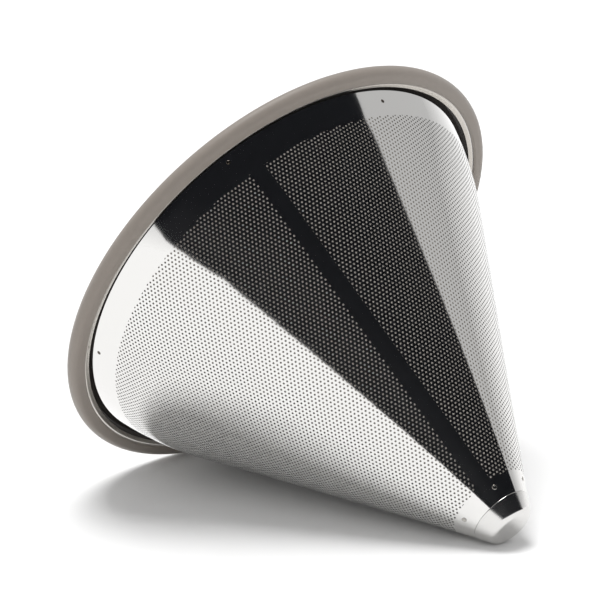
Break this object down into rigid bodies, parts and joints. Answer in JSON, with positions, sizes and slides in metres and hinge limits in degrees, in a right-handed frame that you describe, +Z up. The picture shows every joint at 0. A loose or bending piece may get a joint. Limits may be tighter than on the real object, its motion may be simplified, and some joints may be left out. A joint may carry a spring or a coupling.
{
  "type": "pour over dripper",
  "caption": "Conical double-wall stainless steel pour over coffee dripper with a soft silicone rim ring and a closed tip cap, lying on its side.",
  "frame": {"origin": "bottom centre of the bounding box, on the table the dripper lies on", "axes": "+Z up from the table, +X along the table from the rim towards the tip, +Y across; the cone's axis lies in the XZ plane and dips 32.4 degrees below +X"},
  "size_m": [0.1144, 0.126, 0.107],
  "materials": {
    "polished_steel": "polished",
    "mesh_steel": "woven mesh",
    "satin_steel": "satin",
    "taupe_silicone": "matte"
  },
  "bodies": {
    "root": {"outer_cone": "polished_steel", "outer_seam": "satin_steel", "mesh_cone": "mesh_steel", "mesh_seam": "mesh_steel", "rim_ring": "polished_steel", "silicone_ring": "taupe_silicone", "tip_cap": "satin_steel", "tip_cup": "satin_steel", "upper_spot_welds": "polished_steel", "lower_spot_welds": "polished_steel"}
  },
  "joints": []
}
